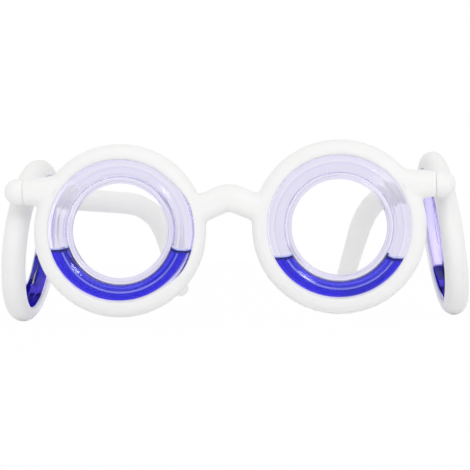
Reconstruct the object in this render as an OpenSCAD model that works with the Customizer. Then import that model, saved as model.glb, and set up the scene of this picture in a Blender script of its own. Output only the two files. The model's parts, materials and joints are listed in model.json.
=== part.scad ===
// Anti-motion sickness glasses: four rings, each with a clear hollow ring half full of blue liquid.
// Two rings sit before the eyes and one at each temple, so the liquid draws a level line all round.
// Left and right are as seen from the front: +X is to the right, where the wearer's left eye is.
// +Y runs back along the arms and +Z is up. The origin is where the glasses sit on the nose: the
// middle of the bridge's underside.

/* [Clear rings] */
// Radius of the see-through opening in each ring
eye_r = 14.05; // [12:0.05:16]
// Width of the thin welded flange that edges the opening
flange_w = 2.1; // [1.6:0.1:3]
// Thickness of one shell's flange
flange_t = 0.6; // [0.4:0.05:1]
// Radial width of the liquid channel, over its two side walls
channel_w = 6.15; // [5:0.05:7.5]
// Half thickness of the clear ring where the rim grips it
grip_half_t = 3; // [2.6:0.05:3.4]
// How far the ridge round the face stands above that
ridge_h = 0.4; // [0.2:0.05:0.8]
// Distance of the ridge from the channel's inner side
ridge_in = 2.25; // [1.6:0.05:3]
// Wall of the clear shells
shell_wall = 0.6; // [0.4:0.05:0.8]
// Wall of the clear shells at their outer side, under the rim
outer_wall = 1; // [0.8:0.05:1.4]
// Radius of the filling hole in the top of the outer wall
port_r = 1; // [0.7:0.05:1.4]

/* [Rims] */
// Distance between the centres of the two eye rings
ring_spacing = 65; // [62:0.5:72]
// Half thickness of the white rims, front to back
rim_half_t = 3.75; // [3.6:0.05:4.4]
// White material outside the clear ring
rim_wrap = 3.4; // [3:0.05:4.5]
// How far the rim's two lips reach over the clear ring
lip_grip = 1.3; // [0.8:0.05:1.6]

/* [Bridge] */
// Height of the bridge's underside above the ring centres, in the middle
bridge_rise = 4.9; // [3:0.1:7]
// Height of the bridge bar
bridge_h = 8.3; // [6:0.1:9.5]
// Depth of the bridge bar, front to back
bridge_d = 6.8; // [5:0.1:7.4]
// Slope of the bridge's two legs
bridge_slope = 0.42; // [0.2:0.01:0.6]
// Radius of the bend at the bridge's peak, at the bar's middle
bridge_bend_r = 6; // [5:0.25:12]

/* [Lugs and hinges] */
// Height of the lugs above the ring centres
lug_rise = 12.1; // [10:0.1:14]
// Radius of the lugs and of the knuckles that meet them
bar_r = 3.9; // [3.7:0.05:4.3]
// Distance from a ring's centre to the joint at the end of its lug
lug_reach = 28.55; // [27.5:0.05:31]
// Radius of a lug's root, inside its rim
lug_root_r = 4.7; // [4:0.05:5]
// Distance of that root from its ring's centre
lug_root_at = 18.5; // [16:0.25:20]
// How far the hinge pin stands outside the joint
pin_out = 0.35; // [0.2:0.05:0.8]
// How far the hinge pin stands behind the lugs' middle
pin_back = 6.2; // [5.9:0.05:7.5]
// Radius of the hinge pin
pin_r = 0.8; // [0.6:0.05:1]
// Radius of the hinge's ears and tongue
ear_r = 2.6; // [2.3:0.05:3]
// Half height of the tongue between the ears
tongue_half_h = 1.1; // [0.8:0.05:1.5]
// Half height of the hinge over its two ears
hinge_half_h = 3.6; // [3.3:0.05:3.7]

/* [Side rings] */
// Distance of a side ring's centre behind the eye rings
side_back = 33.25; // [32.5:0.25:40]
// Distance of a side ring's centre outside the joint
side_out = 3.65; // [3:0.05:4.5]
// How far the side rings' centres lie below the eye rings' centres
side_drop = 2.1; // [0:0.1:4]
// Angle that the side rings' backs turn in
side_toe = 3; // [1:0.25:5]
// Angle that the side rings lean, bottoms out
side_lean = 7.9; // [4:0.1:10]

/* [Arms] */
// Angle round the side ring, above level, where its arm starts
arm_root_angle = 36.5; // [34:0.5:44]
// Radius of an arm where it leaves its side ring
arm_root_r = 3.8; // [3.4:0.05:3.9]
// Radius of an arm at its bend
arm_knee_r = 3.75; // [3.3:0.05:4]
// Radius of an arm at its rounded ear tip
arm_tip_r = 3.15; // [2.8:0.05:3.6]
// Distance of the bend over the ear behind the eye rings
knee_back = 96; // [85:1:105]
// Height of the left arm's bend above the ring centres
knee_rise_left = 10; // [9:0.5:14]
// Height of the right arm's bend above the ring centres
knee_rise_right = 11; // [9:0.5:14]
// Distance of the left arm's bend from the middle
knee_x_left = 31; // [28:0.5:50]
// Distance of the right arm's bend from the middle
knee_x_right = 43; // [34:0.5:50]
// How far the bend is rounded along each side of it
knee_round = 16; // [10:1:20]
// Distance of the ear tips behind the eye rings
tip_back = 122; // [118:1:150]
// How far the ear tips hang below the ring centres
tip_drop = 19.5; // [15:0.5:24]
// Distance of the left ear tip from the middle
tip_x_left = 26; // [24:0.5:45]
// Distance of the right ear tip from the middle
tip_x_right = 33.5; // [30:0.5:45]

/* [Liquid] */
// Depth of the liquid's surface below the centre of the left eye ring
level_front_left = 5; // [0:0.5:12]
// Depth of the liquid's surface below the centre of the right eye ring
level_front_right = 8.4; // [0:0.1:12]
// Depth of the liquid's surface below the centre of the left side ring
level_side_left = 5; // [0:0.5:12]
// Depth of the liquid's surface below the centre of the right side ring
level_side_right = 10.6; // [0:0.1:12]

/* [Clearances] */
// Gap between a clear ring and its rim
seat_gap = 0.05; // [0.03:0.01:0.15]
// Gap between the liquid and its channel
liquid_gap = 0.1; // [0.06:0.01:0.2]
// Running gap between a hinge pin and the tongue
pin_gap = 0.05; // [0.02:0.01:0.1]
// Gap between a lug and the knuckle that meets it
joint_gap = 0.2; // [0.15:0.05:0.5]
// Gap between the ears and the tongue
ear_gap = 0.15; // [0.1:0.05:0.3]

/* [Hidden] */
$fn = 96;

// The picture's left and right: the left one is on the -X side
LEFT = -1;
RIGHT = 1;

WHITE = [0.95, 0.95, 0.95];
CLEAR = [0.88, 0.86, 0.97, 0.45];
BLUE = [0.17, 0.13, 0.85];
STEEL = [0.75, 0.76, 0.78];

// Radii of one ring, from the opening out
channel_r = eye_r + flange_w;
clear_r = channel_r + channel_w;
ridge_r = channel_r + ridge_in;
groove_r = clear_r + seat_gap;
lip_r = clear_r - lip_grip;
rim_r = groove_r + rim_wrap;
rim_round_at = rim_r - rim_half_t;
groove_half_t = grip_half_t + seat_gap;
rim_mid_r = (groove_r + rim_r) / 2;

// Places, with the nose saddle as the origin
ring_z = -bridge_rise;
ring_x = ring_spacing / 2;
lug_z = ring_z + lug_rise;
joint_x = ring_x + lug_reach;
pin_x = joint_x + pin_out;
side_x = joint_x + side_out;
side_z = ring_z - side_drop;
knuckle_x = joint_x + bar_r / 2;
pocket_r = ear_r + 1.5 * ear_gap;

// A ring stands in its own frame with its axis along Z and its outer face up
module place_front(side)
    translate([side * ring_x, 0, ring_z]) rotate([90, 0, 0]) children();

module place_side(side)
    translate([side * side_x, side_back, side_z])
        rotate([0, 0, side * side_toe])
            rotate([0, -side * side_lean, 0])
                rotate([90, 0, side * 90]) children();

// The outer half of a clear ring's section: flange, steep inner side, ridged face, gripped edge
function shell_outside() = [
    [eye_r, 0],
    [eye_r, flange_t - 0.15],
    [eye_r + 0.15, flange_t],
    [channel_r - 0.25, flange_t],
    [channel_r, flange_t + 0.25],
    [channel_r + 0.3, grip_half_t - 0.75],
    [channel_r + 0.75, grip_half_t - 0.1],
    [ridge_r - 0.3, grip_half_t + ridge_h - 0.05],
    [ridge_r, grip_half_t + ridge_h],
    [ridge_r + 0.3, grip_half_t + ridge_h - 0.05],
    [lip_r - 0.3, grip_half_t],
    [clear_r, grip_half_t],
    [clear_r, 0]
];

// The channel inside it, drawn in by a gap where the liquid is meant
function channel(gap) = [
    [channel_r + shell_wall + gap, 0],
    [channel_r + shell_wall + gap, flange_t + 0.1],
    [channel_r + shell_wall + 0.3 + gap, grip_half_t - shell_wall - 0.75],
    [channel_r + shell_wall + 0.7 + gap, grip_half_t - shell_wall - 0.15 - gap],
    [ridge_r, grip_half_t + ridge_h - shell_wall - 0.1 - gap],
    [lip_r - 0.3, grip_half_t - shell_wall - gap],
    [clear_r - outer_wall - gap, grip_half_t - shell_wall - gap],
    [clear_r - outer_wall - gap, 0]
];

module fill_port(r, from_r, to_r)
    translate([0, from_r, 0]) rotate([-90, 0, 0]) cylinder(r = r, h = to_r - from_r);

module clear_shell()
    difference() {
        rotate_extrude() polygon(shell_outside());
        rotate_extrude() polygon(concat(channel(0), [
            [clear_r - outer_wall, -1],
            [channel_r + shell_wall, -1]
        ]));
        fill_port(port_r, clear_r - outer_wall - 0.5, clear_r + 1);
    }

module outer_shell() color(CLEAR) clear_shell();

module inner_shell() color(CLEAR) rotate([0, 180, 0]) clear_shell();

module fill_plug()
    color(CLEAR) fill_port(port_r - seat_gap, clear_r - outer_wall + seat_gap, clear_r - seat_gap);

// The liquid fills the channel below a level surface, here as one whole ring
module liquid_ring()
    rotate_extrude() polygon(concat(
        channel(liquid_gap),
        [for (i = [7:-1:0]) let (p = channel(liquid_gap)[i]) [p[0], -p[1]]]
    ));

module below(z)
    translate([-2 * side_x, -2 * rim_r, z - 2 * rim_r])
        cube([4 * side_x, side_back + 4 * rim_r, 2 * rim_r]);

module front_liquid(side, level)
    color(BLUE) intersection() {
        place_front(side) liquid_ring();
        below(ring_z - level);
    }

module side_liquid(side, level)
    color(BLUE) intersection() {
        place_side(side) liquid_ring();
        below(side_z - level);
    }

// The white rim: a bar with a round outside, and what is taken out for the clear ring
module rim_bar()
    rotate_extrude() {
        translate([rim_round_at, 0]) circle(r = rim_half_t);
        translate([lip_r, -rim_half_t]) square([rim_round_at - lip_r, 2 * rim_half_t]);
    }

module rim_inside() {
    cylinder(r = lip_r, h = 4 * rim_half_t, center = true);
    cylinder(r = groove_r, h = 2 * groove_half_t, center = true);
}

// The bridge is an arch: a bend at its peak and a straight leg down to each rim
bridge_turn = atan(bridge_slope);
bridge_leg = ring_x / cos(bridge_turn);

module bridge_section() {
    flat = (bridge_h - bridge_d) / 2;
    for (side = [-1, 1]) translate([side * flat, 0]) circle(r = bridge_d / 2);
    square([2 * flat, bridge_d], center = true);
}

module bridge()
    intersection() {
        translate([0, 0, bridge_h / 2 - bridge_bend_r]) rotate([90, 0, 0]) {
            rotate([0, 0, 90 - bridge_turn]) rotate_extrude(angle = 2 * bridge_turn)
                translate([bridge_bend_r, 0]) bridge_section();
            for (side = [LEFT, RIGHT]) rotate([0, 0, -side * bridge_turn])
                translate([0, bridge_bend_r, 0]) rotate([0, side * 90, 0])
                    rotate([0, 0, 90]) linear_extrude(bridge_leg) bridge_section();
        }
        cube([2 * (ring_x - lip_r), 2 * bridge_d, 8 * bridge_h], center = true);
    }

// A lug tapers from its root in the rim, no thicker than the rim there, and ends flat at the joint
module lug(side) {
    length = lug_reach - joint_gap / 2 - lug_root_at;
    translate([side * (ring_x + lug_root_at), 0, lug_z]) rotate([0, side * 90, 0])
        intersection() {
            cylinder(r1 = lug_root_r, r2 = bar_r, h = length);
            union() {
                cube([4 * bar_r, 2 * rim_half_t, 4 * bar_r], center = true);
                cylinder(r = bar_r, h = length);
            }
        }
}

// The hinge stands on a line behind the joint
module at_pin(side) translate([side * pin_x, pin_back, lug_z]) children();

module ear(side, from_z)
    translate([0, 0, from_z]) {
        h = hinge_half_h - tongue_half_h - ear_gap;
        at_pin(side) cylinder(r = ear_r, h = h);
        web = ear_r - pin_out - joint_gap / 2;
        translate([side * (joint_x - joint_gap / 2 - web / 2), pin_back / 2, lug_z + h / 2])
            cube([web, pin_back, h], center = true);
    }

module ears(side) {
    ear(side, tongue_half_h + ear_gap);
    ear(side, -hinge_half_h);
}

module front_frame()
    color(WHITE) difference() {
        union() {
            for (side = [LEFT, RIGHT]) {
                place_front(side) rim_bar();
                lug(side);
            }
            bridge();
            for (side = [LEFT, RIGHT]) ears(side);
        }
        for (side = [LEFT, RIGHT]) {
            place_front(side) rim_inside();
            at_pin(side) cylinder(r = pocket_r, h = 2 * (tongue_half_h + ear_gap), center = true);
            at_pin(side) cylinder(r = pin_r + 0.01, h = 4 * hinge_half_h, center = true);
        }
    }

module hinge_pin(side)
    color(STEEL) at_pin(side) cylinder(r = pin_r, h = 2 * hinge_half_h - 0.2, center = true);

// Where an arm starts, inside the upper back of its side ring's rim
function arm_root(side) = [
    side * (side_x - rim_mid_r * (cos(arm_root_angle) * sin(side_toe)
        + sin(arm_root_angle) * sin(side_lean) * cos(side_toe))),
    side_back + rim_mid_r * cos(arm_root_angle) * cos(side_toe),
    side_z + rim_mid_r * sin(arm_root_angle) * cos(side_lean)
];

function unit(v) = v / norm(v);

// Turns and moves a shape so that its X runs from one point to the next and it bends towards a third
module along(from, corner, to) {
    ahead = unit(corner - from);
    across = unit(cross(ahead, to - corner));
    up = cross(ahead, across);
    multmatrix([
        [ahead[0], across[0], up[0], from[0]],
        [ahead[1], across[1], up[1], from[1]],
        [ahead[2], across[2], up[2], from[2]],
        [0, 0, 0, 1]
    ]) children();
}

// An arm starts inside the rim, runs straight to the bend over the ear and straight on down to its
// ball end, and tapers on the way. Each straight part ends just inside the bend, a hair thinner.
module arm(side, knee_x, knee_rise, tip_x) {
    root = arm_root(side);
    knee = [side * knee_x, knee_back, ring_z + knee_rise];
    tip = [side * tip_x, tip_back, ring_z - tip_drop];
    turn = acos(unit(knee - root) * unit(tip - knee));
    bend_r = knee_round / tan(turn / 2);
    before = norm(knee - root) - knee_round;
    after = norm(tip - knee) - knee_round;
    hair = 0.05;
    along(root, knee, tip) {
        rotate([0, 90, 0]) cylinder(r1 = arm_root_r, r2 = arm_knee_r - hair, h = before + hair);
        translate([before, 0, -bend_r]) {
            rotate([90, 0, 0]) rotate([0, 0, 90 - turn]) rotate_extrude(angle = turn)
                translate([bend_r, 0]) circle(r = arm_knee_r);
            rotate([0, turn, 0]) translate([-hair, 0, bend_r]) rotate([0, 90, 0]) {
                cylinder(r1 = arm_knee_r - hair, r2 = arm_tip_r - hair, h = after + hair);
                translate([0, 0, after + hair]) sphere(r = arm_tip_r);
            }
        }
    }
}

// The knuckle is a round bar with a ball end; its flat side meets the lug, and it runs back to the rim
module knuckle(side) {
    translate([side * knuckle_x, 0, lug_z]) sphere(r = bar_r);
    translate([side * knuckle_x, 0, lug_z]) rotate([-90, 0, 0])
        cylinder(r = bar_r, h = side_back - rim_mid_r * 0.75);
}

module temple(side, knee_x, knee_rise, tip_x)
    color(WHITE) difference() {
        union() {
            difference() {
                knuckle(side);
                translate([side * (joint_x + joint_gap / 2 - 2 * bar_r), 0, lug_z])
                    cube([4 * bar_r, 2 * (pin_back + pocket_r), 4 * bar_r], center = true);
                for (z = [tongue_half_h, -hinge_half_h - bar_r])
                    at_pin(side) translate([0, 0, z])
                        cylinder(r = pocket_r, h = hinge_half_h + bar_r - tongue_half_h);
            }
            at_pin(side) cylinder(r = ear_r, h = 2 * tongue_half_h, center = true);
            place_side(side) rim_bar();
            arm(side, knee_x, knee_rise, tip_x);
        }
        place_side(side) rim_inside();
        at_pin(side) cylinder(r = pin_r + pin_gap, h = 4 * hinge_half_h, center = true);
    }

module temple_left() temple(LEFT, knee_x_left, knee_rise_left, tip_x_left);
module temple_right() temple(RIGHT, knee_x_right, knee_rise_right, tip_x_right);

front_frame();
temple_left();
temple_right();
hinge_pin(LEFT);  // hinge_pin_left
hinge_pin(RIGHT);  // hinge_pin_right
place_front(LEFT) outer_shell();  // front_left_outer_shell
place_front(LEFT) inner_shell();  // front_left_inner_shell
front_liquid(LEFT, level_front_left);  // front_left_liquid
place_front(LEFT) fill_plug();  // front_left_fill_plug
place_front(RIGHT) outer_shell();  // front_right_outer_shell
place_front(RIGHT) inner_shell();  // front_right_inner_shell
front_liquid(RIGHT, level_front_right);  // front_right_liquid
place_front(RIGHT) fill_plug();  // front_right_fill_plug
place_side(LEFT) outer_shell();  // side_left_outer_shell
place_side(LEFT) inner_shell();  // side_left_inner_shell
side_liquid(LEFT, level_side_left);  // side_left_liquid
place_side(LEFT) fill_plug();  // side_left_fill_plug
place_side(RIGHT) outer_shell();  // side_right_outer_shell
place_side(RIGHT) inner_shell();  // side_right_inner_shell
side_liquid(RIGHT, level_side_right);  // side_right_liquid
place_side(RIGHT) fill_plug();  // side_right_fill_plug
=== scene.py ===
"""Anti-motion sickness glasses: four round rims, each with a clear hollow ring half full of blue liquid."""

import json
import math

import bmesh
import bpy
from mathutils import Matrix, Vector

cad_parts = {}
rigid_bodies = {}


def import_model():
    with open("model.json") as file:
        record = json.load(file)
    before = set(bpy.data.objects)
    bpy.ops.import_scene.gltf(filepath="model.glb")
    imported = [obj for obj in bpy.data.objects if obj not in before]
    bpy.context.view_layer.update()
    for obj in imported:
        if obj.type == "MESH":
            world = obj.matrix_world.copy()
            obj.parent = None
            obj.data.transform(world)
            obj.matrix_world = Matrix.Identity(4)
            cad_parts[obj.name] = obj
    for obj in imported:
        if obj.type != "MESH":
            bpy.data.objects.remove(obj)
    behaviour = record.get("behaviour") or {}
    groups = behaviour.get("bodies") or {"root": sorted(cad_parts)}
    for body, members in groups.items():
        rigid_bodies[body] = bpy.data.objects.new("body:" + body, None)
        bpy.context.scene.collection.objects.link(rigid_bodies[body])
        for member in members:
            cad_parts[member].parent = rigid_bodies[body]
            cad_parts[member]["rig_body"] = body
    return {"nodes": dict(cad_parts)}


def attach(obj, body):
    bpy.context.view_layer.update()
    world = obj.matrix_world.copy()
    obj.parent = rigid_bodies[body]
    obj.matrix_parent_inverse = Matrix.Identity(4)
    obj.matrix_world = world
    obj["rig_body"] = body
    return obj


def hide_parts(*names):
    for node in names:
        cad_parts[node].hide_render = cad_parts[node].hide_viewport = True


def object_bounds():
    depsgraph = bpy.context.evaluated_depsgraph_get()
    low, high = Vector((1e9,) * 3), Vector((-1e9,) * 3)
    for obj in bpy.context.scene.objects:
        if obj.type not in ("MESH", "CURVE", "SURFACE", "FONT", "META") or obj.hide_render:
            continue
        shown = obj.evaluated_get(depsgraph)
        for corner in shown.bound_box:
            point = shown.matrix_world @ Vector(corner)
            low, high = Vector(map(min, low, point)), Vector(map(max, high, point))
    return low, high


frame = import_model()
cad_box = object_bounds()


# The camera stands half a metre in front of the nose bridge, a little low, with a long lens. It is
# turned a few degrees, so the right eye ring is nearer the middle and the left one looks further round.
lens = bpy.data.cameras.new("photo_camera")
lens.sensor_width = 36
lens.lens = 134.45
lens.clip_start = 0.01
camera = bpy.data.objects.new("photo_camera", lens)
camera.location = (0.032363, -0.518143, -0.012332)
camera.rotation_euler = (math.radians(90.61316), math.radians(1.01408), math.radians(3.39703))
bpy.context.scene.collection.objects.link(camera)
bpy.context.scene.camera = camera
bpy.context.scene.view_settings.view_transform = "Standard"
cycles = bpy.context.scene.cycles
cycles.max_bounces = cycles.transmission_bounces = cycles.transparent_max_bounces = 32
cycles.glossy_bounces = 24
cycles.diffuse_bounces = 6


# White rims, bridge and lugs: one soft plastic moulding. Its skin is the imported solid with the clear
# rings' grooves filled, remeshed and eased so that bars run into rims with the mould's soft fillets;
# the grooves and their two lips are then cut back in. Sizes of rings are radii and heights in mm.
MM = 0.001
EYE_R, CHANNEL_R, CLEAR_R = 14.05, 15.87, 22.3
LIP_R, GROOVE_R, RIM_HALF = 21.0, 22.35, 3.75
CLEAR_HALF = {"front": 3.0, "side": 2.4}
RING_MIDDLE = {"front": Vector((0.0325, 0, -0.0049)), "side": Vector((0.0647, 0.03325, -0.007))}
SIDE_TURN, SIDE_LEAN = 3, 7.9
SIDES = {"left": -1, "right": 1}


def turn(angle, axis):
    return Matrix.Rotation(math.radians(angle), 4, axis)


def clamp(value):
    return min(max(0, value), 1)


def eased(value):
    """A smooth step from 0 to 1."""
    share = clamp(value)
    return share * share * (3 - 2 * share)


def ring_place(where, side):
    """Puts a ring that lies round the Z axis, outer face up, where the front or a temple holds it."""
    x, y, z = RING_MIDDLE[where]
    middle = Matrix.Translation((side * x, y, z))
    if where == "front":
        return middle @ turn(90, "X")
    lean = turn(side * SIDE_TURN, "Z") @ turn(-side * SIDE_LEAN, "Y")
    return middle @ lean @ turn(side * 90, "Z") @ turn(90, "X")


def turned_ring_tree():
    """Geometry Nodes: a section, drawn from the sight hole outwards, is carried once round the ring."""
    tree = bpy.data.node_groups.new("turned_ring", "GeometryNodeTree")
    for name, kind in (("Section", "Geometry"), ("Radius", "Float"), ("Steps", "Int"), ("Finish", "Material")):
        tree.interface.new_socket(name, in_out="INPUT", socket_type="NodeSocket" + kind)
    tree.interface.new_socket("Ring", in_out="OUTPUT", socket_type="NodeSocketGeometry")
    nodes = tree.nodes
    given, made = nodes.new("NodeGroupInput"), nodes.new("NodeGroupOutput")
    section = nodes.new("GeometryNodeMeshToCurve")
    circle = nodes.new("GeometryNodeCurvePrimitiveCircle")
    sweep = nodes.new("GeometryNodeCurveToMesh")
    smooth = nodes.new("GeometryNodeSetShadeSmooth")
    coat = nodes.new("GeometryNodeSetMaterial")
    for start, output, end, entry in (
            (given, "Section", section, "Mesh"), (given, "Radius", circle, "Radius"),
            (given, "Steps", circle, "Resolution"), (circle, "Curve", sweep, "Curve"),
            (section, "Curve", sweep, "Profile Curve"), (sweep, "Mesh", smooth, "Geometry"),
            (smooth, "Geometry", coat, "Geometry"), (given, "Finish", coat, "Material"),
            (coat, "Geometry", made, "Ring")):
        tree.links.new(start.outputs[output], end.inputs[entry])
    return tree


TURNED_RING = turned_ring_tree()
FLIP = Matrix.Diagonal((1, 1, -1, 1))


def shown(name, mesh):
    """An object of the mesh, in the scene."""
    obj = bpy.data.objects.new(name, mesh)
    bpy.context.scene.collection.objects.link(obj)
    return obj


def settle(obj):
    """Applies the object's modifiers and leaves a plain mesh."""
    bpy.context.view_layer.update()
    graph = bpy.context.evaluated_depsgraph_get()
    mesh = bpy.data.meshes.new_from_object(obj.evaluated_get(graph), depsgraph=graph)
    obj.modifiers.clear()
    obj.data = mesh
    return obj


def face_out(mesh):
    """Joins doubled corners and turns all faces outward."""
    work = bmesh.new()
    work.from_mesh(mesh)
    bmesh.ops.remove_doubles(work, verts=work.verts, dist=1e-6)
    bmesh.ops.recalc_face_normals(work, faces=work.faces)
    if work.calc_volume(signed=True) < 0:
        bmesh.ops.reverse_faces(work, faces=work.faces)
    work.to_mesh(mesh)
    work.free()


def note(mesh, name, reading):
    """Keeps a number at each vertex for the materials."""
    kept = mesh.attributes.get(name) or mesh.attributes.new(name, "FLOAT", "POINT")
    kept.data.foreach_set("value", [reading(v.co) for v in mesh.vertices])


def turned_ring(name, section, place, finish, steps=160):
    """A closed section, as (radius, height) in mm, turned round and put in its place."""
    edge = bpy.data.meshes.new(name)
    points = [((r - EYE_R) * MM, z * MM, 0) for r, z in section]
    edge.from_pydata(points, [(i, (i + 1) % len(points)) for i in range(len(points))], [])
    obj = shown(name, edge)
    swept = obj.modifiers.new("turned_ring", "NODES")
    swept.node_group = TURNED_RING
    sockets = {s.name: s.identifier for s in TURNED_RING.interface.items_tree if s.in_out == "INPUT"}
    swept[sockets["Radius"]] = EYE_R * MM
    swept[sockets["Steps"]] = steps
    swept[sockets["Finish"]] = finish
    settle(obj)
    obj.data.transform(FLIP)
    note(obj.data, "radius", lambda co: math.hypot(co.x, co.y) / MM)
    obj.data.transform(place)
    face_out(obj.data)
    return obj


def rounded(corners, reach, steps=3):
    """A closed line with each corner cut back by up to reach and eased with a short curve."""
    line = []
    for i, corner in enumerate(corners):
        here, before = Vector(corner), Vector(corners[i - 1])
        after = Vector(corners[(i + 1) % len(corners)])
        cut_in = min(reach, (before - here).length * 0.45)
        cut_out = min(reach, (after - here).length * 0.45)
        start = here + (before - here).normalized() * cut_in
        end = here + (after - here).normalized() * cut_out
        for k in range(steps + 1):
            t = k / steps
            line.append(tuple((1 - t) ** 2 * start + 2 * t * (1 - t) * here + t * t * end))
    return line


def paint(red, green, blue):
    """A colour as it is seen, 0 to 255, for a shader socket."""
    def light(v):
        v /= 255
        return v / 12.92 if v <= 0.04045 else ((v + 0.055) / 1.055) ** 2.4
    return (light(red), light(green), light(blue), 1)


class Wire:
    """One output of a shader node. Plain arithmetic on wires adds the Math nodes that work it out."""

    def __init__(self, finish, socket):
        self.finish, self.socket = finish, socket

    def _math(self, how, a, b):
        return self.finish.node("Math", {"operation": how}, {0: a, 1: b})

    def __add__(self, other): return self._math("ADD", self, other)
    def __radd__(self, other): return self._math("ADD", other, self)
    def __sub__(self, other): return self._math("SUBTRACT", self, other)
    def __rsub__(self, other): return self._math("SUBTRACT", other, self)
    def __mul__(self, other): return self._math("MULTIPLY", self, other)
    def __rmul__(self, other): return self._math("MULTIPLY", other, self)
    def __truediv__(self, other): return self._math("DIVIDE", self, other)


class Finish:
    """A material being built up. node() adds any node: its settings first, then what feeds its sockets."""

    def __init__(self, name):
        self.material = bpy.data.materials.new(name)
        self.material.use_nodes = True
        self.tree = self.material.node_tree
        self.tree.nodes.clear()

    def node(self, kind, settings=None, sockets=None, out=0):
        made = self.tree.nodes.new("ShaderNode" + kind)
        for key, value in (settings or {}).items():
            if key == "stops":
                for i, (at, colour) in enumerate(value):
                    stop = made.color_ramp.elements[i] if i < 2 else made.color_ramp.elements.new(at)
                    stop.position, stop.color = at, colour
            else:
                setattr(made, key, value)
        for key, value in (sockets or {}).items():
            if isinstance(value, Wire):
                self.tree.links.new(value.socket, made.inputs[key])
            else:
                made.inputs[key].default_value = value
        return Wire(self, made.outputs[out])

    def kept(self, name):
        """A number that is kept at each vertex of the piece."""
        return self.node("Attribute", {"attribute_name": name}, out="Fac")

    def spread(self, value, low, high, start=0.0, end=1.0, how="LINEAR"):
        """Goes from start to end while value goes from low to high."""
        return self.node("MapRange", {"interpolation_type": how}, {0: value, 1: low, 2: high, 3: start, 4: end})

    def blend(self, share, first, second, how="MIX"):
        """Goes from the first colour to the second while share goes from 0 to 1."""
        return self.node("Mix", {"data_type": "RGBA", "blend_type": how},
                         {"Factor": share, "A": first, "B": second}, 2)

    def times(self, first, second):
        return self.blend(1.0, first, second, "MULTIPLY")

    def noise(self, scale, detail, rough=0.5):
        place = self.node("TexCoord", out="Object")
        return self.node("TexNoise", {}, {
            "Vector": place, "Scale": scale, "Detail": detail, "Roughness": rough})

    def clear(self, colour):
        """Lets light straight through, coloured."""
        return self.node("BsdfTransparent", {}, {"Color": colour})

    def either(self, share, first, second):
        """Goes from the first surface to the second while share goes from 0 to 1."""
        return self.node("MixShader", {}, {0: share, 1: first, 2: second})

    def casting(self, surface, shade):
        """The surface, which light from the lamps passes straight through in the colour shade."""
        return self.done(self.either(self.node("LightPath", out="Is Shadow Ray"), surface, self.clear(shade)))

    def done(self, surface):
        end = self.tree.nodes.new("ShaderNodeOutputMaterial")
        self.tree.links.new(surface.socket, end.inputs["Surface"])
        return self.material


def white_plastic():
    """Soft matt white plastic: a satin skin with a fine spark-eroded grain and faint flow marks. Inside
    grooves, and faintly along the joint seam, it has a painted glow that stands in for light coming through the
    wall."""
    f = Finish("white_soft_plastic")
    grain, cloud = f.noise(2600, 3, 0.6), f.noise(70, 2)
    colour = f.blend(cloud, paint(243, 243, 242), paint(248, 248, 247))
    bump = f.node("Bump", {}, {"Strength": 0.12, "Distance": 0.00004, "Height": grain})
    # Painted glow: emission by the kept groove share, in the grooves and faintly along the joint seam.
    glow = f.blend(f.kept("groove"), (0, 0, 0, 1), (0.62, 0.61, 0.66, 1))
    return f.done(f.node("BsdfPrincipled", {}, {
        "Base Color": colour, "Roughness": 0.4 + 0.12 * cloud + 0.06 * grain, "Normal": bump,
        "IOR": 1.45, "Specular IOR Level": 0.35, "Emission Color": glow, "Emission Strength": 1.0,
        "Subsurface Weight": 0.35, "Subsurface Radius": (1.0, 0.97, 0.94), "Subsurface Scale": 0.0015}))


WHITE_PLASTIC = white_plastic()
FILL_IN, FILL_OUT, FILL_HALF = LIP_R - 0.6, 22.6, RIM_HALF - 0.02
GROOVE_FILL = [(FILL_IN, -FILL_HALF), (FILL_IN, FILL_HALF), (FILL_OUT, FILL_HALF), (FILL_OUT, -FILL_HALF)]
LIP_EASE = 1.3
VOXEL = 0.36
JOINT_OUT, JOINT_BACK, JOINT_SHIFT = 61.05, 4, 0.106
RIM_REACH = 31


def groove_cutter(place, half, pulled):
    """What the clear ring needs out of its rim: the opening, eased over both lips, and the groove.
    The left eye ring's outer lip is pulled back on the side towards the nose."""
    deep = RIM_HALF - half - 0.1
    ease = [(LIP_R + LIP_EASE * (1 - math.sin(a)), RIM_HALF - deep * (1 - math.cos(a)))
            for a in map(math.radians, range(0, 91, 15))]
    upper = [(EYE_R - 6, 6), (LIP_R + LIP_EASE, 6)] + ease + [(LIP_R, half), (GROOVE_R, half)]
    section = upper + [(r, -z) for r, z in reversed(upper)]
    cutter = turned_ring("groove_cutter", section, Matrix.Identity(4), WHITE_PLASTIC)
    for v in cutter.data.vertices:
        radius = math.hypot(v.co.x, v.co.y) / MM
        angle = math.degrees(math.atan2(v.co.y, v.co.x))
        if pulled and LIP_R - 0.1 < radius < GROOVE_R - 0.01 and v.co.z > (half - 0.01) * MM:
            wide = 1 + (GROOVE_R - LIP_R) * eased(min((angle + 60) / 32, (48 - angle) / 34)) / radius
            v.co.x, v.co.y = v.co.x * wide, v.co.y * wide
    cutter.data.transform(place)
    return cutter


def filled(node, name, rings):
    """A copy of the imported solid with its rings' grooves filled."""
    skin = frame["nodes"][node].data.copy()
    skin.materials.clear()
    face_out(skin)
    work = bmesh.new()
    work.from_mesh(skin)
    for place in rings:
        fill = turned_ring("groove_fill", GROOVE_FILL, place, WHITE_PLASTIC, 96)
        work.from_mesh(fill.data)
        bpy.data.objects.remove(fill)
    work.to_mesh(skin)
    work.free()
    return shown(name, skin)


def cut_away(obj, name, tool):
    """Cuts the tool out of the object and throws the tool away."""
    cut = obj.modifiers.new(name, "BOOLEAN")
    cut.operation, cut.solver, cut.object = "DIFFERENCE", "MANIFOLD", tool
    settle(obj)
    bpy.data.objects.remove(tool)


def coated(obj, finish):
    """Gives the object one material."""
    obj.data.materials.clear()
    obj.data.materials.append(finish)


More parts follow.
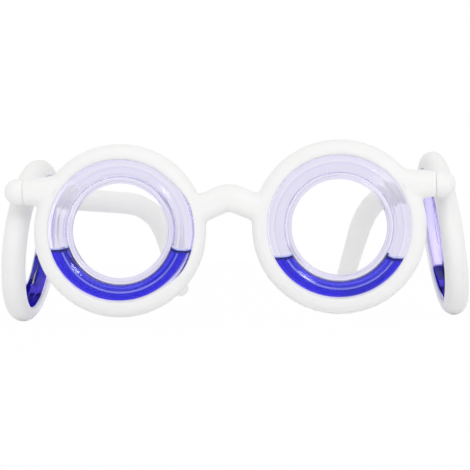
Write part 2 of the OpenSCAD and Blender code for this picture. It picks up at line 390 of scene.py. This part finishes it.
def moulded(node, name, rings, fillets, half, close, thin=0):
    """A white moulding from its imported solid: fillets are (x, y, z, radius) in mm where bars meet rims.
    At the joint, JOINT_OUT from the middle, its flat face is drawn towards the one that it meets. Up to
    RIM_REACH from the ring's axis the front part is made thinner on the head's side by the share thin."""
    obj = filled(node, name, rings)
    remesh = obj.modifiers.new("skin", "REMESH")
    remesh.mode = "VOXEL"
    remesh.voxel_size = VOXEL * MM
    remesh.use_smooth_shade = True
    settle(obj)
    near = obj.vertex_groups.new(name="fillets")
    for v in obj.data.vertices:
        best = 0
        for x, y, z, r in fillets:
            away = (v.co - Vector((x, y, z)) * MM).length / (r * MM)
            best = max(best, min(1, 2.2 - 2 * away))
        if best > 0:
            near.add([v.index], best, "REPLACE")
    ease = obj.modifiers.new("fillets", "SMOOTH")
    ease.factor, ease.iterations, ease.vertex_group = 0.5, 30, "fillets"
    calm = obj.modifiers.new("skin", "SMOOTH")
    calm.factor, calm.iterations = 0.5, 4
    settle(obj)
    obj.vertex_groups.clear()
    for v in obj.data.vertices:
        share = max(0, 1 - abs(abs(v.co.x) / MM - JOINT_OUT)) * clamp((JOINT_BACK - v.co.y / MM) / 1.5)
        v.co.x += math.copysign(close * JOINT_SHIFT * MM * share, v.co.x)
    back = [place.inverted() for place in rings]
    ahead = back[0].to_3x3() @ Vector((0, -1, 0.35))
    for v in obj.data.vertices if thin else ():
        local = back[0] @ v.co
        radius = math.hypot(local.x, local.y)
        front = (local.x * ahead.x + local.y * ahead.y) / radius * clamp((RIM_REACH - radius / MM) / 3)
        if local.z < 0 < front:
            local.z *= 1 - thin * front
            v.co = rings[0] @ local
    for place in rings:
        cut_away(obj, "groove", groove_cutter(place, half + 0.01, place == FRONT_RINGS[0]))
    coated(obj, WHITE_PLASTIC)
    obj.data.shade_smooth()

    # Painted glow share: 1 in the grooves and 0.3 along the joint seam, kept as groove for the emission.
    def painted_glow_share(co):
        for to in back:
            local = to @ co / MM
            if LIP_R - 0.02 < math.hypot(local.x, local.y) < GROOVE_R + 0.02 and abs(local.z) < half + 0.02:
                return 1
        return 0.3 if abs(abs(co.x) / MM - JOINT_OUT) < 0.12 and co.y < JOINT_BACK * MM else 0

    note(obj.data, "groove", painted_glow_share)
    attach(obj, frame["nodes"][node]["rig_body"])
    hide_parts(node)


FRONT_RINGS = [ring_place("front", side) for side in SIDES.values()]
FRONT_FILLETS = [(side * x, 0, z, 7) for side in SIDES.values()
                 for x, z in ((52.3, 11.6), (57.0, 3.0), (9.2, 6.0), (6.9, -2.6))]
moulded("front_frame", "white_front", FRONT_RINGS, FRONT_FILLETS, CLEAR_HALF["front"], 1)

# A temple is the same white plastic: a knuckle that turns on the hinge pin, a rim beside the eye
# and a round arm that bends down behind the ear, all in one moulding.
TEMPLE_FILLETS = [(63, 15.1, 11.1, 7), (63.5, 9.7, 3.3, 7), (61.5, 50.5, 15.5, 8), (60.5, 56, 7.5, 8)]
THINNER = {"left": 0.05, "right": 0.22}
for word, side in SIDES.items():
    moulded(f"temple_{word}", f"white_temple_{word}", [ring_place("side", side)],
            [(side * x, y, z, r) for x, y, z, r in TEMPLE_FILLETS], CLEAR_HALF["side"], -1, THINNER[word])


# Clear rings: two mirrored shells of clear plastic with a lilac cast, welded face to face round the
# sight hole and round the rim. Their steep inner sides read as thin dark lines.
FLANGE_HALF = 0.6
INNER_WALL, OUTER_WALL = 16.13, 21.9
RIDGE_R, SHOULDER_R = 18.4, 20.7
SHELL_OUTSIDE = [
    (EYE_R, 0.01), (EYE_R, 0.45), (EYE_R + 0.15, FLANGE_HALF), (CHANNEL_R - 0.25, FLANGE_HALF),
    (CHANNEL_R, 0.85), (CHANNEL_R + 0.3, 2.25), (CHANNEL_R + 0.75, 2.9), (18.1, 3.35), (RIDGE_R, 3.4),
    (18.7, 3.35), (SHOULDER_R, 3.0), (CLEAR_R, 3.0), (CLEAR_R, 0.01)]
CHANNEL = [
    (INNER_WALL, 0.01), (INNER_WALL, 0.8), (16.37, 1.75), (16.8, 2.35), (RIDGE_R, 2.8),
    (SHOULDER_R, 2.45), (OUTER_WALL, 2.45), (OUTER_WALL, 0.01)]


def ramp(f, value, low, high, stops):
    """A colour that follows a distance in mm, given as (mm, colour) stops."""
    placed = [((at - low) / (high - low), colour) for at, colour in stops]
    return f.node("ValToRGB", {"stops": placed}, {0: (value - low) / (high - low)})


def looked_along(f, low):
    """0 where a skin is seen squarely, 1 where one looks along it and sees only its own colour."""
    return f.spread(f.node("LayerWeight", {}, {"Blend": 0.5}, "Facing"), low, low + 0.22, how="SMOOTHSTEP")


def clear_plastic(name, painted_shade, low, edge_on):
    """Clear plastic times painted_shade, a painted darkening. From the slant low on one sees only the colour
    edge_on.
    """
    f = Finish(name)
    wall, line, edge = (0.87, 0.858, 0.945, 1), (0.97, 0.965, 1, 1), (0.9, 0.89, 0.95, 1)
    painted_shade_line, light = (0.83, 0.815, 0.93, 1), (0.9, 0.89, 0.955, 1)
    # The tint follows the radius. It is an even lilac wall colour, a little paler at both ends, with a painted
    # light band over the steep inner wall. Beside the ridge there is a painted shade line at 18.9 mm and a
    # painted light line at 19.3 mm.
    tint = ramp(f, f.kept("radius"), 13, 23, [
        (14.0, edge), (14.3, wall), (15.4, wall), (15.7, line), (16.05, line), (16.4, wall),
        (18.5, wall), (18.9, painted_shade_line), (19.3, light), (20.3, wall), (22.2, edge)])
    # A painted light patch, kept as pale, makes the tint lighter above the eye rings' outer ends.
    tint = f.times(f.blend(0.38 * f.kept("pale"), tint, (0.96, 0.955, 1, 1)), painted_shade)
    glass = f.node("BsdfPrincipled", {}, {
        "Base Color": tint, "Roughness": 0.04 + 0.04 * f.noise(220, 2), "IOR": 1.3, "Transmission Weight": 1.0})
    return f.casting(f.either(looked_along(f, low), glass, f.clear(edge_on)), (0.98, 0.975, 0.99, 1))


# The side rings' copy is darkened as painted shade, which also stands in for the longer path through them seen
# edge-on. The eye rings' copy is not darkened.
CLEAR_PLASTIC = {
    "front": clear_plastic("clear_lilac_plastic", (1, 1, 1, 1), 0.6, (0.8, 0.78, 0.93, 1)),
    "side": clear_plastic("clear_plastic_edge_on_painted_shade", (0.88, 0.865, 0.95, 1), 0.35, (0.89, 0.87, 0.955, 1))}
RINGS = {f"{where}_{word}": (where, ring_place(where, side), "front" if where == "front" else f"temple_{word}")
         for where in ("front", "side") for word, side in SIDES.items()}
FULLER = {"front_left": 0, "front_right": 0, "side_left": 0, "side_right": 0.3}
PAINTED_LIGHT_AT = {"front_left": 149, "front_right": 36}


def sunk(section, ring, fuller=0):
    """The side rings lie deeper between their lips, so their section is flatter there: the left one
    all over, the right one only from the ridge outwards. A fuller section is nearer to the skin."""
    share = (CLEAR_HALF[RINGS[ring][0]] - FLANGE_HALF) / 2.4
    flat = []
    for r, z in section:
        drawn = 1 - (1 - share) * (clamp((r - 18.7) / 2) if ring == "side_right" else 1)
        if z >= FLANGE_HALF:
            z = FLANGE_HALF + (z - FLANGE_HALF) * drawn + (fuller if z > 0.8 and r < 20 else 0)
        flat.append((r, z))
    return flat


def painted_light_patch(ring, local):
    """A painted light patch: the eye rings' tint is lighter above the outer end, where the shaded temple shows
    through.
    """
    angle = math.degrees(math.atan2(local.y, local.x))
    return eased((20 - abs(angle - PAINTED_LIGHT_AT[ring])) / 9) if ring in PAINTED_LIGHT_AT else 0


for ring, (where, place, body) in RINGS.items():
    back = place.inverted()
    outside, hollow = rounded(sunk(SHELL_OUTSIDE, ring), 0.22), rounded(sunk(CHANNEL, ring, FULLER[ring]), 0.3)
    for half, flip in (("outer", Matrix.Identity(4)), ("inner", FLIP)):
        shell = turned_ring(f"{ring}_clear_{half}", outside + hollow[::-1], place @ flip, CLEAR_PLASTIC[where])
        note(shell.data, "pale", lambda co: painted_light_patch(ring, back @ co))
        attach(shell, body)
        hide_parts(f"{ring}_{half}_shell")


# Blue liquid: it fills the lower part of each channel. Its level surface climbs the walls a little and
# ends in a painted dark line, standing in for the shade at the meniscus, with a pale wet film above. A bright
# streak along the ridge is a painted highlight between painted shade bands, and the liquid darkens where one
# looks along it.
LEVELS = {"front_left": -9.9, "front_right": -13.3, "side_left": -12.0, "side_right": -17.6}
FILM = 0.7
SHARP_FROM = math.radians(40)


def blue_liquid(name, painted_shade, low):
    """Dyed liquid times painted_shade, a painted darkening. From the slant low on one sees only its deep blue.
    """
    f = Finish(name)
    depth = f.kept("depth")
    # Deep blue with painted bands. A painted highlight streak at 18.3 mm lies between painted shade bands.
    # There is painted shade at the inner wall, with lighter painted bands beside it, and the colour is nearly
    # white at the rim.
    dye_and_painted_streaks = ramp(f, f.kept("streak_radius"), 16, 22, [
        (16.05, paint(20, 18, 130)), (16.4, paint(60, 62, 200)), (17.0, paint(86, 86, 244)),
        (17.45, paint(34, 34, 225)), (17.9, paint(8, 6, 205)), (18.3, paint(150, 154, 255)),
        (18.75, paint(8, 4, 205)), (19.25, paint(44, 34, 236)), (19.6, paint(8, 4, 214)),
        (20.15, paint(50, 34, 234)), (20.5, paint(52, 36, 224)), (20.85, paint(250, 248, 255))])
    # Above the level there is a pale wet film. Just below it is a navy band, painted shade standing in for the
    # dark meniscus line.
    edge = ramp(f, depth, -FILM, 1.3, [
        (-0.7, (1, 1, 1, 1)), (-0.3, (0.68, 0.76, 1, 1)), (-0.06, (0.52, 0.62, 1, 1)),
        (0.04, paint(20, 14, 140)), (0.32, paint(14, 8, 112)), (0.72, paint(22, 14, 160))])
    wet = f.spread(depth, -0.04, 0.04)
    slant = f.node("LayerWeight", {}, {"Blend": 0.5}, "Facing")
    colour = f.blend(f.spread(depth, 0.6, 1.1, how="SMOOTHSTEP"), edge, dye_and_painted_streaks)
    colour = f.times(f.times(colour, 1 - wet * f.spread(slant, 0.18, 0.36, 0.0, 0.7)), painted_shade)
    # The whole depth is dyed where light enters, and nothing where it leaves.
    colour = f.blend(f.node("NewGeometry", out="Backfacing"), f.times(colour, colour), (1, 1, 1, 1))
    liquid = f.node("BsdfPrincipled", {}, {
        "Base Color": colour, "Roughness": 0.0, "IOR": 1.33, "Transmission Weight": 1.0})
    body = f.either(looked_along(f, low) * wet, liquid, f.clear((0.16, 0.13, 0.6, 1)))
    return f.casting(body, (0.35, 0.33, 0.9, 1))


# The side rings' liquid is a darker copy: painted shade, which also stands in for the longer path through it
# seen edge-on.
BLUE_LIQUID = {"front": blue_liquid("blue_liquid", (1, 1, 1, 1), 0.6),
               "side": blue_liquid("blue_liquid_edge_on_painted_shade", (0.75, 0.65, 0.72, 1), 0.35)}


def from_axis(back, point):
    """Distance in mm of a point from its ring's axis, and its share to the ring's own right."""
    local = back @ point
    return math.hypot(local.x, local.y) / MM, local.x / math.hypot(local.x, local.y)


def waterline(ring, radius, right):
    """Height of the liquid's edge: it climbs the channel's inner wall, sags and climbs the outer one.
    In the eye rings it sags more on the right."""
    from_inner, from_outer = max(radius - 16.1, 0), max(OUTER_WALL - radius, 0)
    low = clamp(right * 2) if ring.startswith("front") else 0
    sag = 0.35 + low * (1 - math.exp(-from_inner / 1.2))
    return LEVELS[ring] - sag + 0.75 * math.exp(-from_inner / 0.9) + 0.35 * math.exp(-from_outer / 0.5)


def above_water(ring, place):
    """A block whose underside is the liquid's surface, to be cut away from a full ring of liquid."""
    middle, turned = place.translation, place.to_3x3()
    across = (turned @ Vector((1, 0, 0))).normalized()
    up, axis = turned @ Vector((0, 1, 0)), turned @ Vector((0, 0, 1))
    through = Vector((0, 0, 1)).cross(across)
    drop = middle.z - LEVELS[ring] * MM
    lean = drop * axis.z / axis.dot(through) * through
    work = bmesh.new()
    rows = []
    for w in (-8, 8):
        row = []
        for i in range(-240, 241):
            u = i / 10
            point = middle + across * u * MM + through * w * MM + lean
            radius = math.hypot(u, drop / MM / up.z)
            point.z = (waterline(ring, radius, u / radius) + FILM) * MM
            row.append(work.verts.new(point))
        rows.append(row)
    near, far = rows
    near_top, far_top = ([work.verts.new((v.co.x, v.co.y, middle.z + 0.03)) for v in row] for row in rows)
    for k in range(len(near) - 1):
        work.faces.new((near[k], near[k + 1], far[k + 1], far[k]))
        work.faces.new((near_top[k], far_top[k], far_top[k + 1], near_top[k + 1]))
        work.faces.new((near[k], near_top[k], near_top[k + 1], near[k + 1]))
        work.faces.new((far[k], far[k + 1], far_top[k + 1], far_top[k]))
    for k in (0, -1):
        work.faces.new((near[k], far[k], far_top[k], near_top[k]))
    mesh = bpy.data.meshes.new("above_water")
    work.to_mesh(mesh)
    work.free()
    face_out(mesh)
    return shown("above_water", mesh)


def streak_radius(radius, right):
    """Radius for the colour ramp: its painted highlight and shade streaks lie further in on the left than on
    the right, and the blue reaches the rim at its ends.
    """
    rim = 20.3
    shift = 0.35 * clamp((rim - radius) / 1.5)
    return radius - max(radius - rim, 0) * 0.8 * right * right - shift * right


def clear_of_plug(mesh, place, back):
    """Draws the outer wall in by 0.65 mm at the lowest point, which passes the plug's end when turned."""
    for v in mesh.vertices:
        local = back @ v.co
        radius = math.hypot(local.x, local.y) / MM
        if radius > SHOULDER_R and local.y < 0:
            aside = eased((abs(local.x) / MM - 1.4) / 1.2)
            drawn = SHOULDER_R + (radius - SHOULDER_R) * (1 - 0.53 * (1 - aside))
            v.co = place @ Vector((local.x * drawn / radius, local.y * drawn / radius, local.z))


for ring, (where, place, body) in RINGS.items():
    back = place.inverted()
    wetted = [(r - 0.02 if r < 18 else r + 0.02, z + 0.02) for r, z in sunk(CHANNEL[1:-1], ring, FULLER[ring])]
    liquid_section = rounded(wetted + [(r, -z) for r, z in wetted[::-1]], 0.3)
    liquid = turned_ring(f"{ring}_blue_liquid", liquid_section, place, BLUE_LIQUID[where])
    cut_away(liquid, "surface", above_water(ring, place))
    coated(liquid, BLUE_LIQUID[where])
    liquid.data.shade_smooth()
    liquid.data.set_sharp_from_angle(angle=SHARP_FROM)
    note(liquid.data, "depth", lambda co: waterline(ring, *from_axis(back, co)) - co.z / MM)
    note(liquid.data, "streak_radius", lambda co: streak_radius(*from_axis(back, co)))
    clear_of_plug(liquid.data, place, back)
    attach(liquid, f"liquid_{ring}")
    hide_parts(f"{ring}_liquid")


# Plugs: a short clear peg is pressed into each ring's filling hole and sealed over by the rim.
for ring in RINGS:
    coated(frame["nodes"][f"{ring}_fill_plug"], CLEAR_PLASTIC["front"])


# Hinge pins: turned steel pins, pressed into the front's ears, on which the temples' tongues turn.
def bright_steel():
    f = Finish("bright_steel")
    return f.done(f.node("BsdfPrincipled", {}, {
        "Base Color": paint(196, 198, 202), "Metallic": 1.0, "Roughness": 0.22 + 0.2 * f.noise(1500, 2)}))


BRIGHT_STEEL = bright_steel()
for word in SIDES:
    coated(frame["nodes"][f"hinge_pin_{word}"], BRIGHT_STEEL)


# The studio: a white surround that the camera and glass see as plain white and gloss sees as white
# behind the object and dimmer in front, a soft box in front and above, and a pale floor that takes the shadow.
def studio_world():
    world = bpy.data.worlds.new("studio")
    world.use_nodes = True
    nodes, links = world.node_tree.nodes, world.node_tree.links
    nodes.clear()

    def joined(how, first, second):
        node = nodes.new("ShaderNodeMath")
        node.operation = how
        links.new(first, node.inputs[0])
        links.new(second, node.inputs[1])
        return node.outputs[0]

    path = nodes.new("ShaderNodeLightPath").outputs
    apart = nodes.new("ShaderNodeSeparateXYZ")
    links.new(nodes.new("ShaderNodeTexCoord").outputs["Generated"], apart.inputs[0])
    behind = nodes.new("ShaderNodeMapRange")
    behind.interpolation_type = "SMOOTHSTEP"
    behind.inputs["From Min"].default_value, behind.inputs["From Max"].default_value = -0.3, 0.3
    links.new(apart.outputs["Y"], behind.inputs["Value"])
    glossy = joined("MULTIPLY", path["Is Glossy Ray"], behind.outputs["Result"])
    seen = joined("MAXIMUM", joined("MAXIMUM", path["Is Camera Ray"], glossy), path["Is Transmission Ray"])
    dimmer = nodes.new("ShaderNodeMapRange")
    dimmer.inputs["To Min"].default_value, dimmer.inputs["To Max"].default_value = 0.795, 0.4
    links.new(path["Is Glossy Ray"], dimmer.inputs["Value"])
    plain, bright = nodes.new("ShaderNodeBackground"), nodes.new("ShaderNodeBackground")
    for background in (plain, bright):
        background.inputs["Color"].default_value = (1, 1, 1, 1)
    links.new(dimmer.outputs["Result"], plain.inputs["Strength"])
    mix, end = nodes.new("ShaderNodeMixShader"), nodes.new("ShaderNodeOutputWorld")
    for i, socket in enumerate((seen, plain.outputs[0], bright.outputs[0])):
        links.new(socket, mix.inputs[i])
    links.new(mix.outputs[0], end.inputs[0])
    return world


bpy.context.scene.world = studio_world()


def pale_floor():
    """A pale card that the camera, gloss and glass see nearly as plain white."""
    f = Finish("pale_floor")
    seen = f.node("LightPath", out="Is Camera Ray")
    for kind in ("Is Glossy Ray", "Is Transmission Ray"):
        seen = seen + f.node("LightPath", out=kind)
    card = f.node("BsdfDiffuse", {}, {"Color": (0.95, 0.95, 0.95, 1)})
    glow = f.node("Emission", {}, {"Color": (1, 1, 1, 1), "Strength": 1.0})
    return f.done(f.either(f.node("Clamp", {}, {0: seen * 0.97}), card, glow))


FLOOR_Z, FLOOR_HALF = cad_box[0].z - 0.0001, 4
floor_corners = [(x * FLOOR_HALF, y * FLOOR_HALF, FLOOR_Z) for x, y in ((-1, -1), (1, -1), (1, 1), (-1, 1))]
floor_mesh = bpy.data.meshes.new("floor")
floor_mesh.from_pydata(floor_corners, [], [(0, 1, 2, 3)])
floor = shown("floor", floor_mesh)
floor.data.materials.append(pale_floor())


def area_lamp(name, wide, high, watts, spot):
    """A rectangular lamp at a spot, turned to the middle of the front."""
    light = bpy.data.lights.new(name, "AREA")
    light.shape, light.size, light.size_y, light.energy = "RECTANGLE", wide, high, watts
    lamp = shown(name, light)
    lamp.location = spot
    lamp.rotation_euler = (-lamp.location).to_track_quat("-Z", "Y").to_euler()


area_lamp("soft_box", 1.4, 1.0, 3.3, (0.1, -1.3, 0.75))
area_lamp("glint_box", 0.14, 0.14, 0.9, (0.3, -0.9, 0.4))
